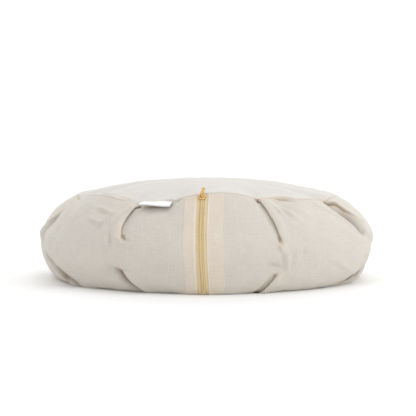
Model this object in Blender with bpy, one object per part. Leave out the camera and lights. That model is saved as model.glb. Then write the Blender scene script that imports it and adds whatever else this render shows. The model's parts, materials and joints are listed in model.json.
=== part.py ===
"""A low round zafu, a meditation cushion with a pleated side band, a short zip down its front and a
sewn-in care label. Metres, +Z up, the zip faces -Y, the origin is under the middle on the floor.

Places round the cushion are bearings in degrees: 0 is the front, at -Y, and 90 is the +X side.
The cover is filled, so each of its three panels is a solid that reaches its neighbour's:
the crown over the seam, the band down to the base, and the flat base itself.
"""

import math

import bmesh
import bpy
from mathutils import Matrix, Vector

MM = 0.001

# Driving dimensions
SEAM_RADIUS = 140 * MM  # both round panels are sewn to the band here
SEAM_HEIGHT = 90 * MM
ZIP_LIFT = 9 * MM  # the stiff zip holds the top seam up this much
PLEAT_DIP = 3.5 * MM  # and each pleat lets it down this much
CROWN_HEIGHT = 109.5 * MM
FILL_HEIGHT = 88 * MM  # where the crown's filling meets the band's, at the middle
GIRTH_HEIGHT = 44 * MM  # the band stands out furthest at this height
BASE_THICKNESS = 2.6 * MM
GAP = 0.35 * MM  # between solids that touch
RIM = 0.9 * MM  # a round panel's thickness at its seam

# The band's outline, from the top seam down to the bottom seam: (radius, height) in millimetres.
BAND_OUTLINE = (
    (140, 90),
    (148, 85),
    (157, 78),
    (166, 68.5),
    (173.5, 58),
    (178, 49),
    (179.5, 42),
    (178.5, 32),
    (175.5, 21.5),
    (170, 11.5),
    (162, 3.8),
    (152, 0.2),
    (140, 0.9),
)
ROWS = len(BAND_OUTLINE)

# The knife pleats that take in the band along each seam: (bearing, lean, depth in mm, side).
# lean is how far the crease drifts round on its way to the girth, in degrees, and side is +1 where
# the cloth with the larger bearing lies on top.
TOP_PLEATS = (
    (-77, -2, 8, 1),
    (-28.5, 2, 7, -1),
    (22.5, 2, 8, 1),
    (61.5, 3, 9, -1),
    (105.8, 1, 7, -1),
    (150.1, -2, 8, 1),
    (194.4, 2, 7, -1),
    (238.7, -1, 8, 1),
)
BASE_PLEATS = (
    (-67, -4, 8, 1),
    (-28.5, -4, 8, 1),
    (23.5, 3, 7, 1),
    (74, 4, 8, -1),
    (117.8, 2, 7, 1),
    (161.6, -2, 7, -1),
    (205.4, 2, 8, 1),
    (249.2, -2, 7, -1),
)
PLEATS = len(TOP_PLEATS)
PLEAT_REACH = 5  # a pleat runs out over this many rows
COLUMNS_PER_GORE = 16
SHADOW_WIDTH = 15 * MM  # of the hollow beside a crease
LIP_WIDTH = 6 * MM

# The zip
ZIP_BEARING = -1.2
TAPE_WIDTH = 3.2 * MM
TAPE_THICKNESS = 0.5 * MM
COIL_WIDTH = 4.2 * MM
COIL_THICKNESS = 1.5 * MM
SLIDER_LENGTH = 8.6 * MM
SLIDER_WIDTH = 7.0 * MM
SLIDER_SHELL = 0.9 * MM
BAIL_WIDTH = 1.3 * MM
PULL_LENGTH = 14 * MM
PULL_WIDTH = 4.2 * MM
PULL_THICKNESS = 0.9 * MM
PULL_LEAN = 15  # degrees, back from the band's slope to the crown's

# The care label, a folded strip caught in the top seam
LABEL_BEARING = -20.5
LABEL_WIDTH = 35 * MM
LABEL_REACH = 13 * MM
LABEL_THICKNESS = 1.0 * MM


def clear_scene():
    for thing in list(bpy.data.objects):
        bpy.data.objects.remove(thing)


def material(name, colour, roughness, metallic=0.0):
    made = bpy.data.materials.new(name)
    made.use_nodes = True
    shader = made.node_tree.nodes["Principled BSDF"]
    shader.inputs["Base Color"].default_value = (*colour, 1)
    shader.inputs["Roughness"].default_value = roughness
    shader.inputs["Metallic"].default_value = metallic
    return made


def around(bearing, radius, height):
    """The point at this bearing, distance from the axis and height."""
    turn = math.radians(bearing)
    return Vector((radius * math.sin(turn), -radius * math.cos(turn), height))


def apart(bearing, other):
    """How far round bearing lies from other, from -180 to 180 degrees."""
    return (bearing - other + 180) % 360 - 180


def bump(distance, width):
    return math.exp(-((distance / width) ** 2))


def seam_height(bearing):
    """The top seam stands high at the stiff zip and dips at each pleat."""
    lift = ZIP_LIFT * bump(apart(bearing, 0), 28)
    dips = sum(PLEAT_DIP * bump(apart(bearing, pleat[0]), 7) for pleat in TOP_PLEATS)
    return SEAM_HEIGHT + lift - dips


def fold_depth(across, side):
    """How far the cloth lies below the plain outline at this distance round from a crease, as a share:
    a raised lip on the upper side, and a sharp drop into the hollow on the other."""
    distance = across * side
    if distance >= 0:
        return -0.28 * bump(distance - LIP_WIDTH / 2, LIP_WIDTH)
    return math.exp(distance / SHADOW_WIDTH)


def pleated(bearing, row, radius):
    """How far the pleats draw the band in at this place."""
    total = 0.0
    for pleats, steps in ((TOP_PLEATS, row), (BASE_PLEATS, ROWS - 1 - row)):
        reach = 1 - steps / PLEAT_REACH
        if reach <= 0:
            continue
        swell = math.sin(math.pi * min(1, (steps + 0.35) / 2.6) / 2) * min(1, 1.6 * reach)
        for start, lean, depth, side in pleats:
            crease = start + lean * (1 - reach)
            across = math.radians(apart(bearing, crease)) * radius
            if abs(across) < 4 * SHADOW_WIDTH:
                total += depth * MM * swell * fold_depth(across, side)
    return total


def band_point(bearing, row):
    """A point of the band's outer face, on one row of BAND_OUTLINE."""
    radius, height = (value * MM for value in BAND_OUTLINE[row])
    if height > GIRTH_HEIGHT:
        stretch = (seam_height(bearing) - GIRTH_HEIGHT) / (SEAM_HEIGHT - GIRTH_HEIGHT)
        height = GIRTH_HEIGHT + (height - GIRTH_HEIGHT) * stretch
    at_seam = row in (0, ROWS - 1)
    if not at_seam:
        radius -= pleated(bearing, row, radius)
    return around(bearing, radius, height)


def gore_columns():
    """Pairs of bearings, on the top and on the bottom seam, of the band's columns. They crowd towards
    the creases, and a column that starts on a top crease ends on the one below it."""
    columns = []
    for i in range(PLEATS):
        ends = []
        for pleats in (TOP_PLEATS, BASE_PLEATS):
            start = pleats[i][0]
            ends.append((start, (pleats[(i + 1) % PLEATS][0] - start) % 360))
        for k in range(COLUMNS_PER_GORE):
            share = k / COLUMNS_PER_GORE
            share -= 0.55 * math.sin(2 * math.pi * share) / (2 * math.pi)
            columns.append(tuple(start + width * share for start, width in ends))
    return columns


COLUMNS = gore_columns()
TOP_BEARINGS = [top for top, _ in COLUMNS]
BASE_BEARINGS = [base for _, base in COLUMNS]


def column_bearing(column, row):
    top, base = COLUMNS[column]
    share = row / (ROWS - 1)
    return top + apart(base, top) * share


def solid(name, rings, look):
    """A closed mesh through rings of points, each ring as long as the others or one point, a tip."""
    mesh = bmesh.new()
    made = [[mesh.verts.new(point) for point in ring] for ring in rings]
    for lower, upper in zip(made, made[1:]):
        count = max(len(lower), len(upper))
        for k in range(count):
            corners = [
                lower[k % len(lower)],
                lower[(k + 1) % len(lower)],
                upper[(k + 1) % len(upper)],
                upper[k % len(upper)],
            ]
            mesh.faces.new(list(dict.fromkeys(corners)))
    for end in (made[0], made[-1]):
        if len(end) > 1:
            mesh.faces.new(end)
    bmesh.ops.recalc_face_normals(mesh, faces=mesh.faces)
    data = bpy.data.meshes.new(name)
    mesh.to_mesh(data)
    mesh.free()
    data.materials.append(look)
    made_object = bpy.data.objects.new(name, data)
    PARTS.objects.link(made_object)
    return made_object


def inner_height(bearing, share):
    """The height where the band's filling meets the crown, share of the way out to the seam."""
    return FILL_HEIGHT * (1 - share**2) + seam_height(bearing) * share**2


def side_band(look):
    """The filled band: its pleated outer face, closed above at the crown and below at the base."""
    floor_of_fill = BASE_THICKNESS + GAP
    rings = [[Vector((0, 0, floor_of_fill))]]
    for share in (0.5, 1):
        rings.append([around(b, SEAM_RADIUS * share, floor_of_fill) for b in BASE_BEARINGS])
    for row in reversed(range(ROWS)):
        rings.append([band_point(column_bearing(k, row), row) for k in range(len(COLUMNS))])
    for share in (0.75, 0.4):
        rings.append([around(b, SEAM_RADIUS * share, inner_height(b, share)) for b in TOP_BEARINGS])
    rings.append([Vector((0, 0, inner_height(0, 0)))])
    return solid("side_band", rings, look)


def top_panel(look):
    """The crown: domed over the seam, and filled down to the band."""
    rings = [[Vector((0, 0, inner_height(0, 0) + GAP))]]
    for share in (0.4, 0.75, 1):
        rings.append(
            [around(b, SEAM_RADIUS * share, inner_height(b, share) + GAP) for b in TOP_BEARINGS]
        )
    for share in (1, 0.94, 0.82, 0.6, 0.32):
        ring = []
        for bearing in TOP_BEARINGS:
            edge = seam_height(bearing) + GAP + RIM
            rise = (CROWN_HEIGHT - edge) * (1 - share**2.2)
            ring.append(around(bearing, SEAM_RADIUS * share, edge + rise))
        rings.append(ring)
    rings.append([Vector((0, 0, CROWN_HEIGHT))])
    return solid("top_panel", rings, look)


def bottom_panel(look):
    """The base: a flat round panel that the cushion rests on, turned up a little at its seam."""
    edge = SEAM_RADIUS - GAP
    outline = ((134 * MM, 0), (edge, 0.9 * MM), (edge, BASE_THICKNESS), (70 * MM, BASE_THICKNESS))
    rings = [[Vector((0, 0, 0))]]
    for radius, height in outline:
        rings.append([around(b, radius, height) for b in BASE_BEARINGS])
    rings.append([Vector((0, 0, BASE_THICKNESS))])
    return solid("bottom_panel", rings, look)


def band_frame(bearing, row):
    """(point, outward normal, direction round the band) of the band's plain face at this place."""
    here = band_point(bearing, row)
    side = (band_point(bearing + 1, row) - band_point(bearing - 1, row)).normalized()
    above = band_point(bearing, max(0, row - 1))
    below = band_point(bearing, min(ROWS - 1, row + 1))
    out = side.cross(above - below).normalized()
    return here, out, side


def strip_down_the_band(name, first, last, thickness, look):
    """A strip on the band's face, from just under the top seam to just over the floor. first and last
    are its two edges' distances from the zip's middle."""
    sections = []
    for row in range(ROWS - 2):
        point, out, side = band_frame(ZIP_BEARING, row)
        inner = point + out * (GAP + 0.15 * MM)
        if row == 0:
            inner += (band_frame(ZIP_BEARING, 1)[0] - point).normalized() * 2.5 * MM
        if row == ROWS - 3:
            inner += Vector((0, 0, 0.6 * MM))
        section = [inner + side * first, inner + side * last]
        section += [corner + out * thickness for corner in reversed(section)]
        sections.append(section)
    return solid(name, sections, look)


def zip_strips(tape_look, coil_look):
    """The closed zip: a woven tape each side of the coil."""
    inner = COIL_WIDTH / 2 + GAP
    outer = inner + TAPE_WIDTH
    strip_down_the_band("zip_tape_left", -outer, -inner, TAPE_THICKNESS, tape_look)
    strip_down_the_band("zip_tape_right", inner, outer, TAPE_THICKNESS, tape_look)
    strip_down_the_band("zip_coil", -COIL_WIDTH / 2, COIL_WIDTH / 2, COIL_THICKNESS, coil_look)


def outline_plate(name, corners, thickness, look, hole=None):
    """A flat plate with the outline of these corners, in its own XY plane, with one round hole."""
    curve = bpy.data.curves.new(name, "CURVE")
    curve.dimensions = "2D"
    curve.fill_mode = "BOTH"
    curve.extrude = thickness / 2
    loops = [corners]
    if hole:
        centre, radius = hole
        steps = [2 * math.pi * k / 16 for k in range(16)]
        loops.append(
            [(centre[0] + radius * math.cos(a), centre[1] + radius * math.sin(a)) for a in steps]
        )
    for loop in loops:
        spline = curve.splines.new("POLY")
        spline.points.add(len(loop) - 1)
        for point, (x, y) in zip(spline.points, loop):
            point.co = (x, y, 0, 1)
        spline.use_cyclic_u = True
    guide = bpy.data.objects.new(name, curve)
    PARTS.objects.link(guide)
    bpy.context.view_layer.update()
    graph = bpy.context.evaluated_depsgraph_get()
    data = bpy.data.meshes.new_from_object(guide.evaluated_get(graph))
    bpy.data.objects.remove(guide)
    mesh = bmesh.new()
    mesh.from_mesh(data)
    bmesh.ops.remove_doubles(mesh, verts=mesh.verts, dist=0.01 * MM)
    mesh.to_mesh(data)
    mesh.free()
    data.materials.clear()
    data.materials.append(look)
    plate = bpy.data.objects.new(name, data)
    PARTS.objects.link(plate)
    return plate


def unite_box(target, name, centre, size):
    """Unites a box, placed in target's own frame, with target by a Boolean."""
    place = Matrix.Translation(centre) @ Matrix.Diagonal((*size, 1))
    mesh = bmesh.new()
    bmesh.ops.create_cube(mesh, matrix=place)
    data = bpy.data.meshes.new(name)
    mesh.to_mesh(data)
    mesh.free()
    box = bpy.data.objects.new(name, data)
    box.hide_render = True
    box.display_type = "WIRE"
    box.parent = target
    CUTTERS.objects.link(box)
    union = target.modifiers.new(name, "BOOLEAN")
    union.operation = "UNION"
    union.object = box


def zip_seat():
    """The frame in which the slider sits: X round the band, Y up the zip, Z out of the cloth."""
    point, _, side = band_frame(ZIP_BEARING, 0)
    down = (band_frame(ZIP_BEARING, 1)[0] - point).normalized()
    up = -down
    out = side.cross(up)
    middle = point + down * 3.2 * MM + out * (GAP + COIL_THICKNESS + 0.4 * MM)
    frame = Matrix((side, up, out)).transposed().to_4x4()
    return Matrix.Translation(middle) @ frame


def zip_slider(look):
    """A cast slider: a shield-shaped top plate over the coil, two side flanges and a bail on top."""
    half_length, half_width = SLIDER_LENGTH / 2, SLIDER_WIDTH / 2
    shield = (
        (-0.62 * half_width, -half_length),
        (0.62 * half_width, -half_length),
        (0.86 * half_width, -0.55 * half_length),
        (half_width, 0.35 * half_length),
        (0.82 * half_width, 0.85 * half_length),
        (0.4 * half_width, half_length),
        (-0.4 * half_width, half_length),
        (-0.82 * half_width, 0.85 * half_length),
        (-half_width, 0.35 * half_length),
        (-0.86 * half_width, -0.55 * half_length),
    )
    slider = outline_plate("zip_slider", shield, SLIDER_SHELL, look)
    slider.matrix_world = zip_seat() @ Matrix.Translation((0, 0, SLIDER_SHELL / 2))
    flange = (0.8 * MM, 0.72 * SLIDER_LENGTH, 0.9 * MM)
    foot = (BAIL_WIDTH, 0.9 * MM, 1.4 * MM)
    for sign, word in ((-1, "first"), (1, "second")):
        edge = Vector((sign * 0.78 * half_width, 0.1 * half_length, -0.35 * MM))
        unite_box(slider, f"{word}_flange", edge, flange)
        under_bail = Vector((0, sign * 0.45 * half_length, SLIDER_SHELL))
        unite_box(slider, f"{word}_bail_foot", under_bail, foot)
    bail = (BAIL_WIDTH, 0.45 * SLIDER_LENGTH + 0.9 * MM, 0.8 * MM)
    unite_box(slider, "bail", Vector((0, 0, SLIDER_SHELL + 1.0 * MM)), bail)
    return slider


def zip_pull(look):
    """The pull: a flat teardrop with a hole in its free end and an eye round the slider's bail. It is
    flipped up over the seam and lies back towards the crown."""
    half = PULL_WIDTH / 2
    outline = []
    for k in range(9):
        angle = math.pi * k / 8
        outline.append((half * math.cos(angle), PULL_LENGTH - half + half * math.sin(angle)))
    outline += [(-0.55 * half, 1.2 * MM), (-0.55 * half, 0.6 * MM), (0.55 * half, 0.6 * MM)]
    outline += [(0.55 * half, 1.2 * MM)]
    hole = ((0, PULL_LENGTH - half), 1.0 * MM)
    pull = outline_plate("zip_pull", outline, PULL_THICKNESS, look, hole)
    hinge = Matrix.Translation((0, 0.36 * SLIDER_LENGTH, SLIDER_SHELL + 1.5 * MM))
    pull.matrix_world = zip_seat() @ hinge @ Matrix.Rotation(math.radians(-PULL_LEAN), 4, "X")
    return pull


def care_label(look):
    """The folded label: it leaves the seam level, sags a little and is blank."""
    sections = []
    steps = 6
    for k in range(steps + 1):
        share = k / steps
        across = (share - 0.5) * LABEL_WIDTH
        bearing = LABEL_BEARING + math.degrees(across / (SEAM_RADIUS + 6 * MM))
        root = around(bearing, SEAM_RADIUS + 4.5 * MM, seam_height(bearing) - 0.6 * MM)
        out = around(bearing, 1, 0)
        tip = root + out * LABEL_REACH - Vector((0, 0, 2.4 * MM + 1.6 * MM * share))
        thick = Vector((0, 0, LABEL_THICKNESS))
        middle = (root + tip) / 2 + Vector((0, 0, 0.9 * MM))
        sections.append([root, middle, tip, tip + thick, middle + thick, root + thick])
    return solid("care_label", sections, look)


clear_scene()
PARTS = bpy.data.collections.new("zafu_cushion")
CUTTERS = bpy.data.collections.new("slider_details")
CUTTERS.hide_render = True
for collection in (PARTS, CUTTERS):
    bpy.context.scene.collection.children.link(collection)

COTTON = material("natural_cotton", (0.66, 0.62, 0.54), 0.9)
TAPE = material("zip_tape", (0.67, 0.52, 0.29), 0.8)
COIL = material("zip_coil_nylon", (0.66, 0.47, 0.22), 0.45)
BRASS = material("zip_brass", (0.80, 0.60, 0.28), 0.35, metallic=1.0)
LABEL = material("label_satin", (0.88, 0.88, 0.87), 0.6)

bottom_panel(COTTON)
side_band(COTTON)
top_panel(COTTON)
zip_strips(TAPE, COIL)
zip_slider(BRASS)
zip_pull(BRASS)
care_label(LABEL)
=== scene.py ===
# %% [markdown]
# # A zafu, sewn and filled
# A zafu is a round meditation cushion. Two round panels are joined by a long side band, and the band is
# longer than the panels' edges, so knife pleats take it in along both seams. Loose hulls fill it out.
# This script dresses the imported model: the sewn cover, a short zip, its slider and pull, and a label.
# Lengths here are in millimetres and become metres when a point is placed. A bearing is an angle round
# the cushion, in degrees: 0 is the front, where the zip is, and 90 is the right-hand side.

# %% Load the frame
import json
import math

import bmesh
import bpy
import numpy as np
from mathutils import Matrix, Vector

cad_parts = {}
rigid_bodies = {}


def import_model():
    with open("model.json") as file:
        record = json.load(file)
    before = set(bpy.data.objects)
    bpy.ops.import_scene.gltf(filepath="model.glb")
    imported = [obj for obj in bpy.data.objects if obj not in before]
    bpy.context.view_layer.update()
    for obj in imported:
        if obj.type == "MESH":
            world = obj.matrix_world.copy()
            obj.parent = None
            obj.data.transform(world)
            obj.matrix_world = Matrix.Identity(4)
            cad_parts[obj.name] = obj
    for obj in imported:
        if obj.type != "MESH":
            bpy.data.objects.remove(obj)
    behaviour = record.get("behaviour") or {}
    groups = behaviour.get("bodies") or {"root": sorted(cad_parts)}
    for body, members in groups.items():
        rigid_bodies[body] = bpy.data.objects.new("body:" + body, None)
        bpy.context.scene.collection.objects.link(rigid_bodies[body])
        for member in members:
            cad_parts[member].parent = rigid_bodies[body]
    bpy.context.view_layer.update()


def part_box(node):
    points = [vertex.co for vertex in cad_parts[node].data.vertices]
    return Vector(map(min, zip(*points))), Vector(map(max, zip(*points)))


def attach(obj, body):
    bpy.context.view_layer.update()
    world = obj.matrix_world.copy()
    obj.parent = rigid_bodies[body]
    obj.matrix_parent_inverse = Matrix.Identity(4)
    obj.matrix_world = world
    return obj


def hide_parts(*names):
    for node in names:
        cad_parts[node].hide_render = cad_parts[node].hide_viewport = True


MM = 0.001
for thing in list(bpy.data.objects):
    bpy.data.objects.remove(thing)
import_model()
scene = bpy.context.scene


def half_width(node):
    """Half the width of a CAD node from left to right, in millimetres."""
    low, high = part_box(node)
    return (high[0] - low[0]) / 2 / MM


SEAM_RADIUS = round(half_width("top_panel"))
GIRTH_RADIUS = half_width("side_band")
CROWN_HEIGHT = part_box("top_panel")[1][2] / MM
print("seam", SEAM_RADIUS, "girth", round(GIRTH_RADIUS, 1), "crown", round(CROWN_HEIGHT, 1))

# %% [markdown]
# ## The view
# The cushion is seen from the front and only a little above its own top. A long lens from far away keeps
# its round shape from bulging.

# %% Camera
EYE_DISTANCE = 1.8
EYE_HEIGHT = 0.20
EYE_ASIDE = 0.0016
AIM_HEIGHT = 0.0745
LENS = 144

camera = bpy.data.objects.new("camera", bpy.data.cameras.new("camera"))
scene.collection.objects.link(camera)
camera.data.lens = LENS
camera.location = (EYE_ASIDE, -EYE_DISTANCE, EYE_HEIGHT)
aim = Vector((EYE_ASIDE, 0, AIM_HEIGHT)) - camera.location
camera.rotation_euler = aim.to_track_quat("-Z", "Y").to_euler()
scene.camera = camera
scene.view_settings.view_transform = "Standard"
print("eye", EYE_DISTANCE, "m away and", EYE_HEIGHT, "m up, lens", LENS, "mm")

# %% [markdown]
# ## Shader maths in plain Python
# A material is a graph of small nodes. Wrapping a socket in a class with Python's operators lets an
# expression such as `1 - mask * 0.3` add its own Math nodes, so that a recipe reads as a formula.
# Everything else goes through one method, `node`.


# %% Sockets as values
class Flow:
    """One output socket of a material. Arithmetic on it adds Math nodes."""

    def __init__(self, socket):
        self.socket = socket

    def node(self, kind, settings=None, inputs=None, output=0):
        """Adds a shader node: its settings first, then its sockets' values or links."""
        made = self.socket.id_data.nodes.new("ShaderNode" + kind)
        for name, value in (settings or {}).items():
            setattr(made, name, value)
        for key, value in (inputs or {}).items():
            if isinstance(value, Flow):
                made.id_data.links.new(value.socket, made.inputs[key])
            else:
                made.inputs[key].default_value = value
        return Flow(made.outputs[output])

    def maths(self, operation, *values):
        return self.node("Math", {"operation": operation}, dict(enumerate(values)))

    def __add__(self, other):
        return self.maths("ADD", self, other)

    def __sub__(self, other):
        return self.maths("SUBTRACT", self, other)

    def __rsub__(self, other):
        return self.maths("SUBTRACT", other, self)

    def __mul__(self, other):
        return self.maths("MULTIPLY", self, other)

    __radd__ = __add__
    __rmul__ = __mul__

    def sine(self):
        return self.maths("SINE", self)

    def size(self):
        return self.maths("ABSOLUTE", self)

    def clip(self):
        return self.node("Clamp", None, {"Value": self})

    def step(self, start, end):
        """0 before start and 1 after end, smooth between them; end may come first."""
        limits = {"From Min": start, "From Max": end}
        settings = {"interpolation_type": "SMOOTHSTEP"}
        return self.node("MapRange", settings, {"Value": self, **limits})

    def noise(self, scale, detail=2.0, roughness=0.5):
        """Even noise about 0, from -0.5 to 0.5, on this vector."""
        sockets = {"Vector": self, "Scale": scale, "Detail": detail, "Roughness": roughness}
        return self.node("TexNoise", None, sockets) - 0.5

    def part(self, axis):
        """One coordinate of this vector: 0, 1 or 2."""
        return self.node("SeparateXYZ", None, {0: self}, output=axis)

    def stretch(self, x, y, z=1.0):
        """This vector with its axes scaled."""
        return self.node("VectorMath", {"operation": "MULTIPLY"}, {0: self, 1: (x, y, z)})

    def tint(self, other, amount):
        """This colour mixed with another, given as red, green and blue."""
        return self.node("Mix", {"data_type": "RGBA"}, {0: amount, 6: self, 7: (*other, 1)}, output=2)

    def times(self, factor):
        """This colour made lighter or darker by a factor."""
        grey = self.node("CombineColor", None, {0: factor, 1: factor, 2: factor})
        settings = {"data_type": "RGBA", "blend_type": "MULTIPLY"}
        return self.node("Mix", settings, {0: 1.0, 6: self, 7: grey}, output=2)


# %% A material and its shader
class Finish:
    """A new material with one Principled shader, and the places its patterns are read from."""

    def __init__(self, name, **constants):
        self.material = bpy.data.materials.new(name)
        self.material.use_nodes = True
        nodes = self.material.node_tree.nodes
        self.shader = nodes["Principled BSDF"]
        for socket, value in constants.items():
            self.shader.inputs[socket.replace("_", " ")].default_value = value
        self.place = Flow(nodes.new("ShaderNodeTexCoord").outputs["Object"])

    def uv(self):
        return self.place.node("UVMap", {"uv_map": "cloth"})

    def attribute(self, name):
        return self.place.node("Attribute", {"attribute_name": name}, output=2)

    def colour(self, red, green, blue):
        return self.place.node("CombineColor", None, {0: red, 1: green, 2: blue})

    def paint(self, **links):
        """Links what varies over the surface to the shader's sockets."""
        for socket, value in links.items():
            target = self.shader.inputs[socket.replace("_", " ")]
            self.material.node_tree.links.new(value.socket, target)

    def relief(self, height, depth):
        """Bumps the surface by height, a number from 0 to 1, at depth in metres."""
        bump = self.place.node("Bump", None, {"Height": height, "Distance": depth, "Strength": 1.0})
        self.paint(Normal=bump)

# %% [markdown]
# ## A white sweep and soft light
# A product stands on paper that runs up behind it, lit until the paper is white. One panel is the floor
# and one is the backdrop, which glows. Both are stage, not part of the object. The light is mostly even
# and from all round, with a wide lamp overhead and a smaller one at the right, so that folds are shaded
# but throw no hard shadows.


# %% Stage
def matt(name, level, glow=0.0):
    """A plain matt white, with a glow of its own where it stands for a lit backdrop."""
    finish = Finish(name, Roughness=1.0)
    finish.shader.inputs["Base Color"].default_value = (level, level, level, 1)
    finish.shader.inputs["Specular IOR Level"].default_value = 0.0
    finish.shader.inputs["Emission Color"].default_value = (1, 1, 1, 1)
    finish.shader.inputs["Emission Strength"].default_value = glow
    return finish.material


def as_object(name, mesh, material):
    """Turns a bmesh into a smooth object of the scene."""
    data = bpy.data.meshes.new(name)
    mesh.to_mesh(data)
    mesh.free()
    data.shade_smooth()
    data.materials.append(material)
    made = bpy.data.objects.new(name, data)
    scene.collection.objects.link(made)
    return made


def make_sheet_of_paper(name, material, place, turn=0.0):
    """A flat stage panel, 12 m square."""
    mesh = bmesh.new()
    flat = Matrix.Translation(place) @ Matrix.Rotation(turn, 4, "X")
    bmesh.ops.create_grid(mesh, x_segments=1, y_segments=1, size=6, matrix=flat)
    as_object(name, mesh, material)


def soft_light(name, place, width, power):
    """A round lamp turned to the cushion's middle."""
    light = bpy.data.lights.new(name, "AREA")
    light.shape = "DISK"
    light.size = width
    light.energy = power
    holder = bpy.data.objects.new(name, light)
    holder.location = place
    toward = Vector((0, 0, 0.05)) - Vector(place)
    holder.rotation_euler = toward.to_track_quat("-Z", "Y").to_euler()
    scene.collection.objects.link(holder)


make_sheet_of_paper("floor", matt("white_floor", 0.93, 0.05), (0, 0, 0))
make_sheet_of_paper("backdrop", matt("lit_backdrop", 0.9, 1.25), (0, 5, 0), math.pi / 2)
world = bpy.data.worlds.new("studio")
world.use_nodes = True
world.node_tree.nodes["Background"].inputs["Color"].default_value = (1, 1, 1, 1)
world.node_tree.nodes["Background"].inputs["Strength"].default_value = 0.70
scene.world = world
soft_light("overhead", (0.2, -0.4, 2.2), 2.6, 14)
soft_light("right_flank", (2.1, -0.9, 1.1), 1.2, 9.5)
print("stage ready")

# %% [markdown]
# ## How the band is pleated
# Each pleat is a knife pleat: the cloth doubles back under itself and out again, three layers at the
# seam, and it opens out on its way to the cushion's girth. The tables give each pleat's bearing at its
# seam, how far round its crease drifts, how deep the fold is, how far down the cloth it reaches, how deep
# the pocket is where it opens, how much it pulls the seam down, and which side lies on top: +1 where the
# cloth with the larger bearing does.

# %% Pleat tables
# Degrees for bearing, drift and bend: where the pleat starts, how far it runs round by its end, and how
# far its middle is off that line. Millimetres for fold (cloth hidden each side), reach (down the cloth),
# pocket (depth at the end), dip (of the seam), trough and puff (the cloth's fall and rise beyond the
# fold), ridge (the rise of the upper layer) and lip (how far its edge rolls up). upper is 1 where the
# right-hand cloth lies on top.
PLEAT_COLUMNS = (
    "bearing", "drift", "bend", "fold", "reach", "pocket", "dip", "upper", "trough", "puff", "ridge", "lip",
)
TOP_PLEATS = (
    (-73, -9.0, 9.0, 15, 61, 3.8, 5.5, 1, 6.5, 4.6, 0.4, 1.3),
    (-28.6, 0.2, -1.4, 15, 51, 1.1, 3.0, -1, 2.0, 0.8, 1.9, 0.5),
    (21.6, 3.2, -0.3, 15, 56, 1.1, 2.0, 1, 2.4, 0.8, 2.0, 0.6),
    (60.5, 6.0, -3.0, 15, 52, 5.0, 4.5, -1, 8.5, 3.4, 0.6, 1.3),
    (105.8, 1, 0.8, 14, 50, 1.6, 3.5, 1, 2.4, 1.2, 1.6, 0.6),
    (150.1, -2, -1.2, 15, 54, 3.0, 4.0, 1, 4.2, 1.4, 1.4, 1.2),
    (194.4, 2, 1.5, 14, 48, 1.6, 3.0, -1, 2.4, 1.0, 1.6, 0.6),
    (238.7, -1, -1.0, 15, 52, 3.0, 3.5, 1, 4.6, 1.6, 1.4, 1.3),
)
BASE_PLEATS = (
    (-38, -33.0, 0, 15, 56, 4.6, 0, 1, 9.0, 2.6, 0.6, 1.2),
    (-16, -14.5, 0, 13, 46, 4.2, 0, 1, 6.5, 0.8, 1.4, 1.8),
    (14, 10.0, 0, 15, 44, 1.3, 0, 1, 2.4, 0.6, 1.8, 0.6),
    (44, 42.0, 0, 15, 56, 4.6, 0, -1, 9.0, 2.4, 0.6, 1.2),
    (110, 4, 1.0, 14, 46, 1.8, 0, 1, 2.6, 1.2, 1.4, 0.7),
    (158, -5, -1.0, 15, 48, 3.0, 0, -1, 4.4, 1.2, 1.2, 1.2),
    (206, 6, 1.0, 14, 48, 2.0, 0, 1, 2.8, 1.2, 1.4, 0.7),
    (254, -4, 1.0, 15, 48, 3.0, 0, -1, 4.0, 1.2, 1.2, 1.1),
)


def as_columns(table):
    return {name: np.array(values, float) for name, values in zip(PLEAT_COLUMNS, zip(*table))}


TOP, BASE = as_columns(TOP_PLEATS), as_columns(BASE_PLEATS)
PLEATS, FRONT_PLEATS = len(TOP_PLEATS), 4
print(PLEATS, "pleats at each seam")

# %% [markdown]
# ## The filled shape under the cloth
# Before any pleat or wrinkle, the cushion is a turned shape: a dome, a band that bellies out, a tight
# turn onto the floor and a flat base. Only the top seam isn't level, because the stiff zip props it up
# and each pleat pulls it down.

# %% The turned shape
# The band's outline from the top seam to the bottom seam: (radius, height)
BAND_OUTLINE = np.array(
    (
        (140, 90),
        (148.5, 84.3),
        (156, 79.2),
        (162.6, 73.6),
        (169.2, 66.5),
        (174.7, 57.5),
        (178.2, 49.5),
        (179.4, 42),
        (178.6, 33),
        (175.6, 24),
        (171.6, 14.5),
        (166.8, 6.6),
        (161, 1.6),
        (154, 0.25),
        (147, 0.6),
        (140, 2.2),
    )
)
SEAM_HEIGHT = 90.0
BASE_HEIGHT = BAND_OUTLINE[-1][1]
CROWN_SETTLED = 2.4  # how far the settled crown lies under the fullest one
CROWN_FLATNESS = 2.1  # 2 is a parabola, and more is flatter on top
GIRTH_HEIGHT = 44.0
ZIP_BEARINGS = ((0, 45, 70, 131.6), (-1.5, -1.8, -1.6, -0.6))  # distances down and bearings: it bows
ZIP_LIFT, ZIP_LIFT_BEARING = 9.5, 4.0  # how far the zip props up the seam, and about which bearing
ZIP_LIFT_LEFT, ZIP_LIFT_RIGHT = 16.8, 24  # how far round the lift reaches on each side
SEAM_RISES = ((-53, 3.4, 12), (84, -1.2, 14))  # bearing, rise and half width of other swells of the seam
DIP_WIDTH = 6  # half the width of a pleat's dip of the seam, in degrees


# %% Curves and soft steps
def spline(knots, values, places):
    """A smooth curve through values at knots, read at places."""
    slopes = np.gradient(values, knots, axis=0)
    index = np.clip(np.searchsorted(knots, places, side="right") - 1, 0, len(knots) - 2)
    width = knots[index + 1] - knots[index]
    t = ((places - knots[index]) / width)[..., None]
    width = width[..., None]
    start = values[index] * (1 + 2 * t) * (1 - t) ** 2 + slopes[index] * width * t * (1 - t) ** 2
    return start + values[index + 1] * t**2 * (3 - 2 * t) + slopes[index + 1] * width * t**2 * (t - 1)


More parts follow.
